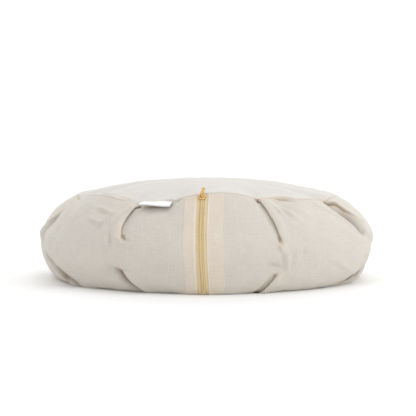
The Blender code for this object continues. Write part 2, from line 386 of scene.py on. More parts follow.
OUTLINE_LENGTHS = np.concatenate(
    ([0], np.cumsum(np.linalg.norm(np.diff(BAND_OUTLINE, axis=0), axis=1)))
)
BAND_WIDTH = OUTLINE_LENGTHS[-1]


def zip_bearing(down):
    """Where the zip's middle runs, at this distance down."""
    return float(np.interp(down, *ZIP_BEARINGS))


def apart(bearing, other):
    """How far round bearing lies from other, from -180 to 180 degrees."""
    return (bearing - other + 180) % 360 - 180


def hump(distance, width):
    """A soft bump: 1 at no distance, about a third at its width."""
    return np.exp(-((distance / width) ** 2))


def ease(value, start, end):
    """0 at start and 1 at end, smooth between them."""
    share = np.clip((value - start) / (end - start), 0, 1)
    return share * share * (3 - 2 * share)


# %% Places on the turned shape
def seam_height(bearing):
    """The top seam's height: propped up by the zip, let down by each pleat."""
    from_zip = apart(bearing, ZIP_LIFT_BEARING)
    left_side = (1 + 0.027 * from_zip) * np.exp(-np.abs(from_zip / ZIP_LIFT_LEFT) ** 7)
    height = SEAM_HEIGHT + ZIP_LIFT * np.where(from_zip > 0, hump(from_zip, ZIP_LIFT_RIGHT), left_side)
    for place, rise, width in SEAM_RISES:
        height = height + rise * hump(apart(bearing, place), width)
    for place, dip in zip(TOP["bearing"], TOP["dip"]):
        height = height - dip * hump(apart(bearing, place), DIP_WIDTH)
    return height


def turned(bearing, down):
    """Points of the turned shape, in mm. down is the distance down the cloth from the top seam: less than
    0 on the top panel, and more than BAND_WIDTH on the bottom panel."""
    bearing, down = np.broadcast_arrays(np.asarray(bearing, float), np.asarray(down, float))
    outline = spline(OUTLINE_LENGTHS, BAND_OUTLINE, np.clip(down, 0, BAND_WIDTH))
    radius, height = outline[..., 0], outline[..., 1]
    seam = seam_height(bearing)
    above = np.maximum(height - GIRTH_HEIGHT, 0) / (SEAM_HEIGHT - GIRTH_HEIGHT)
    height = height + above * (seam - SEAM_HEIGHT)
    inward = np.clip(-down, 0, SEAM_RADIUS) / SEAM_RADIUS
    dome = seam + (CROWN_HEIGHT - CROWN_SETTLED - seam) * (1 - (1 - inward) ** CROWN_FLATNESS)
    beyond = np.clip(down - BAND_WIDTH, 0, SEAM_RADIUS)
    flat = BASE_HEIGHT * np.exp(-beyond / 6.0)
    radius = np.where(down < 0, SEAM_RADIUS * (1 - inward), radius)
    radius = np.where(down > BAND_WIDTH, SEAM_RADIUS - beyond, radius)
    height = np.where(down < 0, dome, np.where(down > BAND_WIDTH, flat, height))
    turn = np.radians(bearing)
    return np.stack((radius * np.sin(turn), -radius * np.cos(turn), height), axis=-1)


def row_radius(down):
    """How far a row lies from the cushion's upright axis, in mm, and 1 at a panel's middle."""
    return max(float(np.hypot(*turned(0, down)[:2])), 1.0)


def outward(bearing, down):
    """Unit normals of the turned shape, across two short steps on it."""
    step, turn = 0.4, 0.2
    down = np.clip(np.asarray(down, float), -SEAM_RADIUS + 1, BAND_WIDTH + SEAM_RADIUS - 1)
    along = turned(bearing, down + step) - turned(bearing, down - step)
    round_it = turned(bearing + turn, down) - turned(bearing - turn, down)
    normal = np.cross(along, round_it)
    return normal / np.linalg.norm(normal, axis=-1, keepdims=True)


print("band", round(BAND_WIDTH, 1), "mm wide")
print("seam heights:", [round(float(seam_height(b)), 1) for b in (-77, -28.5, 0, 22.5, 60.5, 90)])

# %% [markdown]
# ## Laying the cloth in its pleats
# The cover starts as one flat grid of cloth. Its rows run from the middle of the top panel, over both
# seams, to the middle of the base, and its columns run round. At each pleat some columns are kept for the
# cloth that is tucked away: row by row they swing out under the upper layer and back, and far from the
# seam the same columns lie open in a soft hollow. At the seam itself they bunch to a point, as the stitched
# cloth does, so the grid never tears.

# %% Columns of the cloth
TUCKED = 26  # columns inside one pleat
OPEN = 70  # columns in the cloth between two pleats
# Edges of what is sewn to the zip, as distances from its middle to the right
ZIP_HALF = 5.6
STRIP_LEFT, STRIP_RIGHT = -17.6, 21.6
ZIP_COLUMNS = np.concatenate(
    (
        STRIP_LEFT + np.array((-0.6, -0.25, 0.25, 0.6)),
        np.linspace(-15.5, -7.5, 5),
        -ZIP_HALF + np.array((-0.8, -0.3, 0, 0.3, 0.7)),
        (-2.5, 0, 2.5),
        ZIP_HALF + np.array((-0.7, -0.3, 0, 0.3, 0.8)),
        np.linspace(8, 19.5, 6),
        STRIP_RIGHT + np.array((-0.6, -0.25, 0.25, 0.6)),
    )
)
ZIP_GORE = 1  # the pleat that the zip follows, going round


def open_bearings(gore, start, end, down, degrees):
    """The bearings of the columns between pleat gore and the next; by the zip, some keep beside it."""
    if gore != ZIP_GORE:
        share = np.arange(1, OPEN) / OPEN
        share = share - 0.35 * np.sin(2 * math.pi * share) / (2 * math.pi)  # closer beside the pleats
        return start + (end - start) * share
    at_zip = start + (zip_bearing(down) - start) % 360 + ZIP_COLUMNS * degrees
    spare = OPEN - 1 - len(ZIP_COLUMNS)
    before, after = spare - spare // 2, spare // 2
    left = start + (at_zip[0] - start) * np.arange(1, before + 1) / (before + 1)
    right = at_zip[-1] + (end - at_zip[-1]) * np.arange(1, after + 1) / (after + 1)
    return np.concatenate((left, at_zip, right))


print(len(ZIP_COLUMNS), "columns keep beside the zip")

# %% Rows of the cloth
# Distances down the cloth from the top seam, in mm
TOP_ROWS = -np.array(
    (140, 128, 115, 101, 88, 76, 65, 55, 46, 38, 31, 25, 20, 16, 13, 10.5, 7.5, 4.5, 2.2, 0.8)
)
EDGE_ROWS = np.array((0, 0.8, 1.8, 3.2, 5.2))
MIDDLE_ROWS = np.linspace(8.0, BAND_WIDTH - 8.0, 34)
BASE_ROWS = BAND_WIDTH + np.array((1, 3, 7, 14, 25, 40, 60, 85, 112, 140))
FEW_ROWS = np.concatenate((TOP_ROWS, EDGE_ROWS, MIDDLE_ROWS, BAND_WIDTH - EDGE_ROWS[::-1], BASE_ROWS))
HALVES = (FEW_ROWS[1:] + FEW_ROWS[:-1]) / 2
HALVES = HALVES[(HALVES > -26) & (HALVES < BAND_WIDTH + 6)]
ROWS = np.sort(np.concatenate((FEW_ROWS, HALVES)))
COLUMNS = PLEATS * (TUCKED + OPEN)
print(len(ROWS), "rows of", COLUMNS, "columns")


# %% One row of pleats
OPEN_ZONE = 3.2  # the tucked columns' half share of open cloth, once a fold has run out
LAYER = 0.9  # between the layers of a fold


def pleat_line(pleats, reached):
    """The bearing of each pleat at this share of its reach."""
    reached = np.clip(reached, 0, 1.1)
    return pleats["bearing"] + pleats["drift"] * reached + pleats["bend"] * 4 * reached * (1 - reached)


def folds(pleats, distance):
    """What each pleat of one seam does at this distance from the seam."""
    reached = distance / pleats["reach"]
    depth = pleats["fold"] * np.clip(1 - reached, 0, 1) ** 0.75
    opened = ease(distance, 0, 3.0) * np.ones(PLEATS)
    hollow = (1.3 + (pleats["pocket"] - 1.3) * hump(reached - 0.85, 0.33)) * ease(1.6 - reached, 0, 0.6)
    return {
        "bearing": pleat_line(pleats, reached),
        "depth": depth * opened,
        "folded": depth / np.maximum(depth, OPEN_ZONE),
        "zone": np.maximum(depth, OPEN_ZONE),
        "opened": opened,
        "hollow": hollow * opened,
        "flat": ease(reached, 0.7, 1.15),
        "upper": pleats["upper"],
        "lip": pleats["lip"] * ease(distance, 1, 9) * ease(1.0 - reached, 0, 0.2),
    }


def folded_columns(near, i, degrees):
    """Bearings, lifts and tucked shares of the columns inside pleat i, and what its edges do."""
    side, zone, folded = near["upper"][i], near["zone"][i], near["folded"][i]
    opened, hollow, flat = near["opened"][i], near["hollow"][i], near["flat"][i]
    q = np.linspace(0, 1, TUCKED + 1)
    spread = (q - 0.5) * 2 * zone - 0.5 * side * zone
    under = side * near["depth"][i] * np.sin(math.pi * q)
    across = under + (1 - folded) * spread + 0.5 * (q - 0.5) * (1 - opened)
    lip = -near["lip"][i] * (1 - flat) + hollow * flat
    inner = hollow + LAYER * opened * folded
    layers = (lip, lip + 0.8 * LAYER * folded, inner, inner, hollow)
    lift = -np.interp(1 - q if side > 0 else q, (0, 0.16, 0.5, 0.84, 1), layers)
    tucked_and_shade = opened * folded * np.sin(math.pi * q) ** 0.5
    edge = {"lip": lip, "hollow": hollow, "side": side, "flat": flat}
    return near["bearing"][i] + across * degrees, lift, tucked_and_shade, edge


def open_lift(from_start, from_end, before, after):
    """How the pleats at its two edges lift or sink the open cloth, at these distances from them in mm."""
    lift = np.zeros(len(from_start))
    for gap, edge, on_top in (
        (from_start, before, before["side"] > 0),
        (from_end, after, after["side"] <= 0),
    ):
        if on_top:
            lift -= edge["lip"] * np.exp(-gap / (3.0 + 6 * edge["flat"]))
            lift += 0.8 * (1 - edge["flat"]) * hump(gap - 7, 6)
        else:
            lift -= edge["hollow"] * np.exp(-gap / 9.0)
    return lift


# %% A whole row
SWELL = 1.2  # how far the open cloth between two pleats stands out, midway down the band


def folds_on_band(down):
    """The folds at this distance down, passing from the top seam's pleats to the base seam's."""
    top, base = folds(TOP, down), folds(BASE, BAND_WIDTH - down)
    blend = float(ease(down, 0.36 * BAND_WIDTH, 0.64 * BAND_WIDTH))
    return {key: top[key] * (1 - blend) + base[key] * blend for key in top}


def row_of_cloth(down):
    """The bearing, lift and tucked share of every column in one row. lift is how far the cloth stands off
    the turned shape, in mm, and the tucked share is 1 inside a fold, where the cover's material paints
    shade."""
    on_band = min(max(down, 0.0), BAND_WIDTH)
    near = folds_on_band(on_band)
    degrees = math.degrees(1 / max(row_radius(down), SEAM_RADIUS * 0.5))
    pleats = [folded_columns(near, i, degrees) for i in range(PLEATS)]
    row = {"bearing": [], "lift": [], "tucked_and_shade": []}
    for i, (bearing, lift, tucked_and_shade, edge) in enumerate(pleats):
        following = pleats[(i + 1) % PLEATS]
        start = bearing[-1]
        end = start + (following[0][0] - start) % 360
        places = open_bearings(i, start, end, down, degrees)
        middle = np.clip((places - start) / (end - start), 0, 1)
        swell = SWELL * np.sin(math.pi * middle) * math.sin(math.pi * on_band / BAND_WIDTH)
        gaps = (places - start) / degrees, (end - places) / degrees
        row["bearing"] += [bearing, places]
        row["lift"] += [lift, open_lift(*gaps, edge, following[3]) + swell]
        row["tucked_and_shade"] += [tucked_and_shade, np.zeros(len(places))]
    row = {key: np.concatenate(value) for key, value in row.items()}
    inward = max(0.0, -down, down - BAND_WIDTH) / SEAM_RADIUS  # 0 on the band, 1 at a panel's middle
    loosen = float(ease(inward, 0.05, 0.7))
    even = row["bearing"][0] + np.arange(COLUMNS) * 360 / COLUMNS
    row["bearing"] = np.unwrap(row["bearing"], period=360) * (1 - loosen) + even * loosen
    on_seam = 1 - float(ease(inward, 0.0, 0.02))
    row["lift"] = row["lift"] * on_seam
    row["tucked_and_shade"] = row["tucked_and_shade"] * on_seam
    return row


cloth = [row_of_cloth(float(down)) for down in ROWS]
print("columns in a row:", len(cloth[30]["bearing"]))


# %% [markdown]
# ## Small wrinkles
# Where a fold runs out, the spare cloth that is left gathers in short soft ridges, and a filled cover is
# never quite even. Ridges and troughs are strokes laid one by one on the cloth, each with its two ends,
# its height and its width. Creases are narrower, and dark inside. The unevenness is a few slow waves
# through space.

# %% Strokes on the cloth
# (bearing, distance down) of both ends, then height and width; a trough has a height under 0
STROKE_STRENGTH = 1.9
STROKES = (
    # where the left front pleat runs out
    (-34.0, 42, -32.4, 61, -1.6, 1.7),
    (-32.0, 43, -30.2, 60, 1.1, 2.8),
    (-36.0, 44, -34.6, 60, 0.7, 3.0),
    (-34.0, 22, -39.2, 52, 1.3, 2.8),
    (-35.8, 21, -41.2, 50, -1.0, 2.4),
    (-46.0, 32, -39.8, 35.5, 1.2, 2.4),
    (-39.8, 35.5, -34.8, 30, 1.2, 2.4),
    (-45.0, 37, -38.5, 40, -0.8, 2.4),
    (-46.5, 16.5, -36.5, 20.5, 1.0, 2.6),
    (-45.5, 21, -37.0, 24.5, -0.7, 2.2),
    (-31.0, 8, -35.5, 34, 0.8, 3.6),
    (-29.4, 47, -27.6, 50.5, -1.6, 2.2),
    (-30.2, 50, -27.8, 57, 1.6, 2.6),
    (-27.8, 57, -25.2, 58, 1.3, 2.4),
    (-27.0, 49, -24.2, 50.5, 1.0, 2.4),
    (-24.2, 47, -20.0, 50, 0.6, 2.6),
    (-60.2, -15.4, -42.5, -6.1, -0.9, 1.8),
    (-42.5, -6.1, -31.5, -1.6, -0.8, 1.6),
    (-58.0, -11.5, -43.0, -3.0, 0.9, 2.6),
    # where the right front pleat runs out, down to the one below it
    (23.4, 57, 25.2, 64.5, 1.7, 2.6),
    (22.4, 55, 23.6, 62, -1.0, 2.2),
    (25.3, 57, 27.0, 74.5, 1.5, 3.0),
    (27.0, 74.5, 27.4, 86, 1.2, 2.6),
    (28.8, 62, 29.0, 80, -0.9, 2.8),
    (24.4, 66, 25.6, 78, -0.8, 2.4),
    (33.5, 63, 33.5, 69, -1.1, 1.5),
    (32.6, 63, 32.4, 69, 0.6, 1.6),
    # fanning out from the seam to the right of it
    (25.0, 7, 28.8, 29, 1.1, 3.0),
    (25.6, 6, 34.6, 35, 1.2, 3.2),
    (27.4, 10, 31.6, 33, -0.9, 2.6),
    (28.5, 5, 41.0, 23, 0.9, 3.2),
    (29.0, 12, 39.0, 30, -0.7, 3.0),
    (30.0, 1.6, 39.5, 3.4, -2.2, 1.7),
    (28.8, -2.5, 40.5, -1.6, 1.2, 2.4),
    (30.5, 6.5, 41.5, 8.5, 0.9, 2.4),
    # across the right flank
    (44.2, 73, 60.2, 94, 0.9, 3.0),
    (43.0, 77, 58.5, 97, -0.7, 2.6),
    (67.0, 50, 74.0, 62, 1.2, 3.6),
    (50.0, 8, 57.0, 24, 0.9, 3.6),
    (36.0, 44, 44.0, 56, 0.5, 4.0),
    # beside the upper left pleat and above the lower ones
    (-66.0, 8, -60.0, 30, 0.8, 4.0),
    (-32.7, 77, -32.0, 88, 1.2, 2.2),
    (-35.0, 80, -33.6, 92, -0.8, 2.4),
    (-38.0, 82, -36.5, 96, 0.6, 2.8),
    (-30.6, 86, -26.0, 84, -1.0, 2.6),
    (19.5, 76, 25.0, 80.5, -1.6, 2.6),
    (70.0, 74, 80.0, 84, 0.8, 3.6),
    (-66.0, 66, -58.0, 80, 0.7, 3.6),
    # on the top panel, beside the seam
    (-16.5, -9, -13.8, 0, 1.2, 1.8),
    (-18.8, -8, -16.2, 0, -0.9, 1.8),
    (-14.0, 3.5, -10.4, 1.4, -1.3, 1.6),
    (21.0, -12, 21.6, -1, -0.6, 3.4),
    (60.0, -14, 60.5, -1, -1.0, 4.0),
    (-74.0, -13, -73.0, -1, -1.0, 4.0),
)

# %% Creases
# Narrow creases and pocket mouths, with shade painted inside: both ends, depth, half width, how much
# shade is painted inside, and how much of that is gone by the last end
CREASES = (
    # along the upper left pleat's lower lip
    (-74.0, 1.0, -70.0, 8.6, 2.4, 1.6, 0.9, 0),
    (-70.0, 8.6, -68.2, 21.9, 2.2, 1.6, 1.0, 0.1),
    (-68.2, 21.9, -71.6, 31.8, 2.0, 1.7, 0.9, 0.3),
    (-71.6, 31.8, -77.6, 44.0, 1.4, 1.7, 0.6, 1),
    # inside the pocket of the lower left pleat
    (-61.0, 93.0, -66.5, 83.0, 2.0, 2.2, 0.8, 1),
    (-61.5, 91.0, -53.6, 105.0, 2.8, 2.8, 1.0, 0),
    (-59.5, 101.0, -67.5, 93.0, 1.6, 2.8, 0.8, 1),
    # the wedge beside the lower front pleat
    (-24.8, 105.0, -30.6, 87.5, 2.2, 2.0, 0.9, 0.8),
    # the mouth of the upper right pleat and its second lip
    (62.0, 1.2, 64.4, 11.0, 3.2, 1.9, 1.0, 0),
    (64.4, 11.0, 64.6, 20.9, 3.2, 2.3, 1.0, 0),
    (64.6, 20.9, 66.4, 29.0, 3.0, 2.3, 1.0, 0.25),
    (66.4, 29.0, 69.4, 36.0, 2.2, 1.9, 0.75, 0.4),
    (69.4, 36.0, 75.0, 46.0, 1.4, 1.6, 0.45, 1),
    (64.2, 22.0, 64.6, 44.0, 1.0, 3.6, 0.4, 0.8),
    # the pocket under the right flank
    (62.0, 103.0, 56.5, 107.0, 1.8, 1.8, 0.9, 0.6),
    (62.0, 103.0, 68.0, 99.4, 2.8, 2.2, 1.0, 0.1),
    (68.0, 99.4, 82.0, 96.0, 2.8, 2.6, 0.9, 1),
    # under the label: a dent, with the label's shadow painted in
    (-26.0, 4.6, -14.8, 5.6, 2.2, 2.6, 0.42, 0.2),
)

# %% Warm patches
# A pale warm tint in patches: (bearing, distance down, radius, strength). The last, broad one lightens the
# right flank: painted light.
WARM_PATCHES = (
    (-34.0, 10, 9, 0.5),
    (-40.0, -6, 12, 0.35),
    (-31.0, 52, 9, 0.35),
    (25.5, 4, 9, 0.5),
    (35.0, -3, 14, 0.4),
    (25.2, 62, 8, 0.35),
    (62.0, 6, 11, 0.5),
    (71.0, 30, 14, 0.35),
    (-72.0, 22, 10, 0.4),
    (-28.0, 92, 9, 0.3),
    (24.0, 92, 8, 0.25),
    # painted light on the right flank
    (45.0, 40, 26, 0.18),
)


# %% Ridges round the back
def fan(pleats, i, seam):
    """Strokes for a pleat on the back: short ridges that spread out where it ends. seam is the distance
    down to the pleat's seam, and the cloth runs away from it."""
    away = 1 if seam == 0 else -1
    bearing = pleats["bearing"][i] + pleats["drift"][i]
    end = pleats["reach"][i]
    turn = (i * 37 % 11 - 5) * 0.25
    return [
        (bearing - 1.5, seam + away * (end - 4), bearing + 1.8 + turn, seam + away * (end + 9), 1.1, 3.2),
        (bearing - 5 + turn, seam + away * (end - 9), bearing - 9, seam + away * (end + 5), 0.7, 3.0),
        (bearing + 4, seam + away * (end - 11), bearing + 9 + turn, seam + away * (end + 4), -0.6, 2.8),
        (bearing - 6, seam + away * 9, bearing - 10 - turn, seam + away * 27, 0.7, 3.6),
        (bearing + 5 + turn, seam + away * 7, bearing + 11, seam + away * 23, 0.6, 3.6),
    ]


ALL_STROKES = list(STROKES)
for i in range(FRONT_PLEATS, PLEATS):
    ALL_STROKES += fan(TOP, i, 0) + fan(BASE, i, BAND_WIDTH)
print(len(ALL_STROKES), "strokes and", len(CREASES), "creases")


# %% Beside each pleat
HOLE_REACH, HOLE_DEPTH = 9, 4.5  # the small hole where a pleat meets its seam


def beside_pleat(pleats, i, across, distance):
    """What pleat i does to the cloth this far across from its crease and from its seam: how far it is
    raised, how warm a tint it gets, and how much shade is painted on it beside the fold."""
    reached = distance / pleats["reach"][i]
    strength = float(ease(distance, 0, 9) * ease(pleats["reach"][i] * 1.12 - distance, 0, 12))
    late = 0.3 + 0.7 * float(hump(reached - 0.75, 0.4))
    width = 1.2 + 0.9 * pleats["pocket"][i] * (0.3 + 0.7 * float(hump(reached - 0.8, 0.5)))
    raised = pleats["ridge"][i] * hump(across - 4.5, 4.0) + pleats["puff"][i] * hump(across + 13, 7.5)
    raised = strength * (raised - late * pleats["trough"][i] * hump(across + 0.8 * width, width))
    warm = strength * (0.55 * hump(across - 1.5, 3.5) + 0.25 * hump(across + 3, 4))
    gaping = float(ease(pleats["pocket"][i], 2.0, 3.6))
    # Painted shade: the fold's trough and open pocket are darkened in colour.
    dark = hump(across + (0.3 + 0.5 * gaping) * width, (0.35 + 0.25 * gaping) * width)
    shaded = (0.35 + 0.55 * gaping) * strength * late * dark
    if distance < HOLE_REACH:
        hole = hump(np.hypot(across + 0.8 - 2.2 * gaping, distance - 2.8), 1.8)
        raised = raised - HOLE_DEPTH * hole
        # Painted shade: the hole is darkened in colour as well.
        shaded = shaded + hole
    return np.array((raised, warm, shaded))


def beside_pleats(bearing, down):
    """The same for one row, from the pleats of both seams together."""
    total = np.zeros((3, len(bearing)))
    for pleats, distance in ((TOP, down), (BASE, BAND_WIDTH - down)):
        if not 0 <= distance <= 0.62 * BAND_WIDTH:
            continue
        line = pleat_line(pleats, distance / pleats["reach"])
        for i in range(PLEATS):
            across = np.radians(apart(bearing, line[i])) * row_radius(down) * pleats["upper"][i]
            total += beside_pleat(pleats, i, across, distance)
    return total


# %% Strokes and creases along a row
def beside_stroke(bearing, down, ends):
    """For every place in one row: how far along a stroke it is, from 0 to 1, and how far off it in mm."""
    first, start, last, end = ends
    radius = row_radius(down)
    along = np.array((math.radians(last - first) * radius, end - start))
    across = np.radians(apart(bearing, first)) * radius
    share = np.clip((across * along[0] + (down - start) * along[1]) / along.dot(along), 0, 1)
    return share, np.hypot(across - share * along[0], down - start - share * along[1])


def wrinkles(bearing, down):
    """How far the strokes raise one row of cloth, in mm."""
    raised = np.zeros(len(bearing))
    for first, start, last, end, height, width in ALL_STROKES:
        if abs(down - (start + end) / 2) > abs(end - start) / 2 + 4 * width:
            continue
        share, gap = beside_stroke(bearing, down, (first, start, last, end))
        taper = np.sin(math.pi * (0.12 + 0.76 * share)) ** 1.2
        raised += STROKE_STRENGTH * height * taper * hump(gap, 0.8 * width)
    return raised


def creases(bearing, down):
    """How deep the creases cut one row of cloth, in mm, and how much shade is painted in them."""
    depth, dark = np.zeros(len(bearing)), np.zeros(len(bearing))
    for *ends, deep, width, shade, fade in CREASES:
        share, gap = beside_stroke(bearing, down, ends)
        left = 1 - fade * share
        depth = np.maximum(depth, deep * left * hump(gap, width))
        # Painted shade inside the crease.
        dark = np.maximum(dark, shade * left * hump(gap, 1.4 * width))
    return depth, dark


def warm_patches(bearing, down):
    """The tint by the listed patches and along the top seam."""
    radius = row_radius(down)
    warm = 0.9 * float(hump(down - 0.3, 1.3)) * np.ones(len(bearing))
    for place, distance, size, strength in WARM_PATCHES:
        across = np.radians(apart(bearing, place)) * radius
        warm += strength * hump(np.hypot(across, down - distance), size)
    return warm


# %% Unevenness
random = np.random.default_rng(7)
# (height, wavelength) of the slow waves, in mm
WAVES = ((0.9, 95), (0.6, 60), (0.4, 34), (0.24, 21), (0.12, 13))


def wave_table():
    waves = []
    for height, length in WAVES:
        for _ in range(5):
            way = random.normal(size=3)
            way /= np.linalg.norm(way)
            waves.append((height / 2.2, way * 2 * math.pi / length, random.uniform(0, 2 * math.pi)))
    return waves


SLOW_WAVES = wave_table()
print(len(SLOW_WAVES), "slow waves")


def uneven(places):
    """The slow waves' height at these places, in mm."""
    return sum(height * np.sin(places @ way + start) for height, way, start in SLOW_WAVES)


def calm(down):
    """How much of the unevenness there is: little by the taut top seam and none on the floor."""
    above_floor = ease(BAND_WIDTH + 20 - down, 0, 40)
    return float(above_floor * (1 - 0.75 * hump(down, 14)) * (1 if down > 0 else 0.5))


# %% [markdown]
# ## Seams, strips and the zip's channel
# A seam pulls the cloth into a narrow groove, and the allowance inside lifts the panel beside it. By the
# zip the band's cloth is folded double, so a strip on each side stands a step higher and ends in a rolled
# edge, and the zip lies in the channel between.

# %% Sewn edges
SEAM_GROOVE, ALLOWANCE_RISE, ALLOWANCE_WIDTH = 0.75, 0.45, 13.5
STRIP_STEP, CHANNEL_DEPTH, EDGE_ROLL = 0.4, 0.8, 0.35
SOFT = 0.3  # half the width over which the cloth steps up or down


def sewn_edges(bearing, down):
    """The groove of each seam, the allowance pressed to the panel's side, and what lies beside the zip."""
    lift = np.zeros(len(bearing))
    for away in (-down, down - BAND_WIDTH):
        lift -= SEAM_GROOVE * hump(away, 1.4)
        lift += ALLOWANCE_RISE * float(ease(away, 0.5, 2.5)) * float(ease(ALLOWANCE_WIDTH - away, 0, 1.5))
    if 0 < down < BAND_WIDTH:
        across = np.radians(apart(bearing, zip_bearing(down))) * row_radius(down)
        strip = ease(across, STRIP_LEFT - SOFT, STRIP_LEFT + SOFT)
        strip = strip * ease(across, STRIP_RIGHT + SOFT, STRIP_RIGHT - SOFT)
        channel = ease(np.abs(across), ZIP_HALF + SOFT, ZIP_HALF - SOFT)
        rolled = hump(np.abs(across) - ZIP_HALF - 0.9, 0.8)
        beside_zip = STRIP_STEP * strip + EDGE_ROLL * rolled - CHANNEL_DEPTH * channel
        lift += beside_zip * float(ease(down, 0, 1.0))
    return lift


# %% [markdown]
# ## Sewing the cover
# On the real cushion two panels and a band are sewn together inside out, turned, and filled through the
# zip. Here one grid, made by an operator, is carried over the filled shape row by row, with every fold,
# wrinkle and seam added as a distance off that shape. Its places are vertex attributes too, so that the
# cloth's material knows where the seams, strips and folds are.

# %% Sew the cover
def new_piece(name, mesh, material):
    """Turns a bmesh into a finished piece that rides with the cushion."""
    piece = as_object(name, mesh, material)
    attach(piece, "root")
    return piece


FLOOR_GAP = 0.15
SEAM_DARK = 0.28  # how much shade is painted into the top seam's groove


def sewn_row(row, down):
    """The places of one row of the cover, and its vertex attributes."""
    bearing, plain_place = row["bearing"], turned(row["bearing"], down)
    drawn, drawn_warm, shaded = beside_pleats(bearing, down)
    depth, dark = creases(bearing, down)
    detail = (wrinkles(bearing, down) - depth) * (1 - row["tucked_and_shade"]) + drawn
    lift = row["lift"] + detail + uneven(plain_place) * calm(down) + sewn_edges(bearing, down)
    places = plain_place + outward(bearing, down) * lift[:, None]
    places[:, 2] = np.maximum(places[:, 2], FLOOR_GAP * (down < BAND_WIDTH))
    radius = np.hypot(places[:, 0], places[:, 1])
    # Painted shade in the top seam's groove.
    painted_seam_shade = SEAM_DARK * float(hump(down, 1.1))
    return places, {
        "down": np.full(len(bearing), down),
        # The tucked share, plus shade painted into troughs, pleat holes, creases and the top seam's groove.
        "tucked_and_shade": np.clip(row["tucked_and_shade"] + shaded + dark + painted_seam_shade, 0, 1),
        "across": np.radians(apart(bearing, zip_bearing(down))) * radius,
        "warm": np.clip(drawn_warm + warm_patches(bearing, down), 0, 1),
    }


# %% The grid and its UV map
def lay_out_cloth(mesh, where):
    """The UV map in metres of cloth: round and down on the band, and flat on the panels."""
    uv_layer = mesh.loops.layers.uv.new("cloth")
    for face in mesh.faces:
        rows = [where[vertex][1] for vertex in face.verts]
        centre = (ROWS[min(rows)] + ROWS[max(rows)]) / 2
        for loop in face.loops:
            column, row = where[loop.vert]
            if 0 < centre < BAND_WIDTH:
                turn = cloth[row]["bearing"][column % COLUMNS] + 360 * (column // COLUMNS)
                loop[uv_layer].uv = (math.radians(turn) * GIRTH_RADIUS * MM, ROWS[row] * MM)
            else:
                loop[uv_layer].uv = loop.vert.co.xy


def cloth_grid():
    """The cover as a bmesh: a flat grid laid over the turned shape in its pleats."""
    mesh = bmesh.new()
    last = len(ROWS) - 1
    bmesh.ops.create_grid(mesh, x_segments=COLUMNS, y_segments=last, size=0.5)
    sewn = [sewn_row(row, down) for row, down in zip(cloth, ROWS)]
    layers = {name: mesh.verts.layers.float.new(name) for name in ("down", "tucked_and_shade", "across", "warm")}
    where = {}
    for vertex in mesh.verts:
        column = round((vertex.co.x + 0.5) * COLUMNS)
        row = round((vertex.co.y + 0.5) * last)
        where[vertex] = (column, row)
        places, values = sewn[row]
        vertex.co = Vector(places[column % COLUMNS]) * MM
        for name, layer in layers.items():
            vertex[layer] = values[name][column % COLUMNS]
    lay_out_cloth(mesh, where)
    bmesh.ops.remove_doubles(mesh, verts=mesh.verts, dist=0.001 * MM)
    bmesh.ops.recalc_face_normals(mesh, faces=mesh.faces)
    return mesh


# %% [markdown]
# ## Undyed cotton
# The cloth is a plain weave: single threads over and under each other, with thick and thin stretches
# called slubs. The threads are a bump read from the UV map, which is laid out in metres of cloth, so that
# they run up and round the band. Slubs are noise stretched along each thread direction. The strips by the
# zip and the seams' allowances are two layers thick and look warmer, because less shows through.

# %% Cotton
THREAD = 0.00062
COTTON_COLOUR = (0.690, 0.668, 0.628)
BAND_COLOUR = (0.690, 0.650, 0.583)
DOUBLED_COLOUR = (0.760, 0.672, 0.575)
# A painted highlight along the strips' rolled edges.
EDGE_HIGHLIGHT_COLOUR = (0.84, 0.75, 0.66)
# The brown of the shade painted into folds, creases, pleat holes and the top seam's groove.
FOLD_SHADE_COLOUR = (0.26, 0.155, 0.08)


SLUBS = (900, 70)  # how fine the slubs are across a thread and along it
SOFT_EDGE = 0.25  # half the width of a change of colour, in mm


def between(value, start, end, soft):
    """1 from start to end and 0 outside, with soft edges."""
    return value.step(start - soft, start + soft) * value.step(end + soft, end - soft)


def cotton():
    finish = Finish("natural_cotton", Roughness=0.92)
    finish.shader.inputs["Specular IOR Level"].default_value = 0.25
    finish.shader.inputs["Sheen Weight"].default_value = 0.12
    uv, down, across = finish.uv(), finish.attribute("down"), finish.attribute("across")
    tucked_and_shade, warm = finish.attribute("tucked_and_shade"), finish.attribute("warm")
    turn = math.pi / THREAD
    weave = (uv.part(0) * turn).sine() * (uv.part(1) * turn).sine()
    slubs = uv.stretch(*SLUBS).noise(1.0) + uv.stretch(*SLUBS[::-1]).noise(1.0)
    cloudy = finish.place.noise(28, 3.0)
    on_band = between(down, 0, BAND_WIDTH, 0.3)
    strip = between(across, STRIP_LEFT, STRIP_RIGHT, SOFT_EDGE)
    allowance = down.step(-14.0, -12.0) * down.step(0.5, -0.5)
    off_zip = across.size()
    rolled = off_zip.step(ZIP_HALF - 0.2, ZIP_HALF + 0.3) * off_zip.step(ZIP_HALF + 1.9, ZIP_HALF + 1.3)
    colour = finish.colour(*COTTON_COLOUR).tint(BAND_COLOUR, on_band)
    colour = colour.tint(DOUBLED_COLOUR, (strip * on_band).clip())
    colour = colour.tint(DOUBLED_COLOUR, allowance * (0.2 + cloudy * 0.4))
    colour = colour.tint(DOUBLED_COLOUR, (warm * (0.9 + cloudy * 0.6)).clip())
    # Painted highlight: the strips' rolled edges beside the zip are made paler.
    colour = colour.tint(EDGE_HIGHLIGHT_COLOUR, rolled * on_band)
    # Painted shade: tucked cloth, troughs, pleat holes, creases and the seam's groove are darkened towards
    # brown.
    colour = colour.tint(FOLD_SHADE_COLOUR, (tucked_and_shade * 0.8).clip())
    finish.paint(Base_Color=colour.times(1 + slubs * 0.16 + cloudy * 0.05 + weave * 0.03))
    finish.relief(0.5 + weave * 0.25 + slubs * 0.6, 0.00022)
    return finish.material


